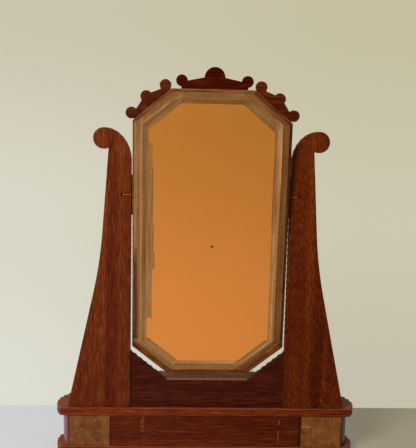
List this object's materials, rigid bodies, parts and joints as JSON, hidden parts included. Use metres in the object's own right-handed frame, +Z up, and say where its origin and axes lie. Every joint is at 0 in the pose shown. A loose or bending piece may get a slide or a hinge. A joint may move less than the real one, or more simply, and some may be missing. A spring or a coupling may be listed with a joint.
{
  "type": "vanity mirror with drawer",
  "caption": "Octagonal swing mirror with a fretted crest between two scrolled uprights, on a round-ended wooden base with a drawer that slides forwards.",
  "frame": {"origin": "middle of the bottom board's underside, at the height of the table top; half way between the board's front and rear edges", "axes": "+Z up, -Y is the front, where the drawer opens and the mirror faces, +X is a front viewer's right"},
  "size_m": [0.4106, 0.1679, 0.5201],
  "materials": {
    "mahogany": "french-polished mahogany, worn",
    "mahogany_crest": "dark polished mahogany",
    "mahogany_panel": "dark mahogany, unpolished back",
    "mahogany_facing": "bent mahogany facing, polished",
    "softwood": "bare softwood, sawn",
    "drawer_wood": "bare thin drawer boards",
    "mirror_silvering": "mirror glass, its back painted orange",
    "gummed_paper": "brown gummed paper tape",
    "pin_brass": "dull brass wire",
    "steel": "dull steel"
  },
  "bodies": {
    "base": {"bottom_board": "mahogany", "top_board": "mahogany", "back_panel": "mahogany_panel", "back_panel_brads": "steel", "base_screws": "steel", "drawer_partition_left": "softwood", "front_infill_left": "mahogany_facing", "pedestal_block_left": "softwood", "pedestal_facing_left": "mahogany_facing", "upright_left": "mahogany", "upright_dowels_left": "softwood", "pivot_pin_left": "pin_brass", "drawer_partition_right": "softwood", "front_infill_right": "mahogany_facing", "pedestal_block_right": "softwood", "pedestal_facing_right": "mahogany_facing", "upright_right": "mahogany", "upright_dowels_right": "softwood", "pivot_pin_right": "pin_brass", "lower_panel": "mahogany_panel"},
    "mirror": {"frame_rail_lower_right": "mahogany", "frame_rail_right": "mahogany", "frame_rail_upper_right": "mahogany", "frame_rail_top": "mahogany", "frame_rail_upper_left": "mahogany", "frame_rail_left": "mahogany", "frame_rail_lower_left": "mahogany", "frame_rail_bottom": "mahogany", "tape_lower_right": "gummed_paper", "tape_right": "gummed_paper", "tape_upper_right": "gummed_paper", "tape_top": "gummed_paper", "tape_upper_left": "gummed_paper", "tape_left": "gummed_paper", "tape_lower_left": "gummed_paper", "tape_bottom": "gummed_paper", "mirror_glass": "mirror_silvering", "crest_top": "mahogany_crest", "crest_left": "mahogany_crest", "crest_right": "mahogany_crest", "pivot_pad_left": "mahogany_crest", "pivot_pad_right": "mahogany_crest"},
    "drawer": {"drawer_front": "mahogany", "drawer_back": "drawer_wood", "drawer_bottom": "drawer_wood", "drawer_side_left": "drawer_wood", "drawer_side_right": "drawer_wood", "drawer_knob": "mahogany", "knob_screw": "steel"}
  },
  "joints": [
    {"name": "mirror_tilt", "type": "hinge", "parent": "base", "child": "mirror", "pos_m": [0, 0.0697, 0.3553], "axis": [1, 0, 0], "range_deg": [-160, 160]},
    {"name": "drawer_slide", "type": "slide", "parent": "base", "child": "drawer", "axis": [0, -1, 0], "range_m": [0, 0.1]}
  ]
}
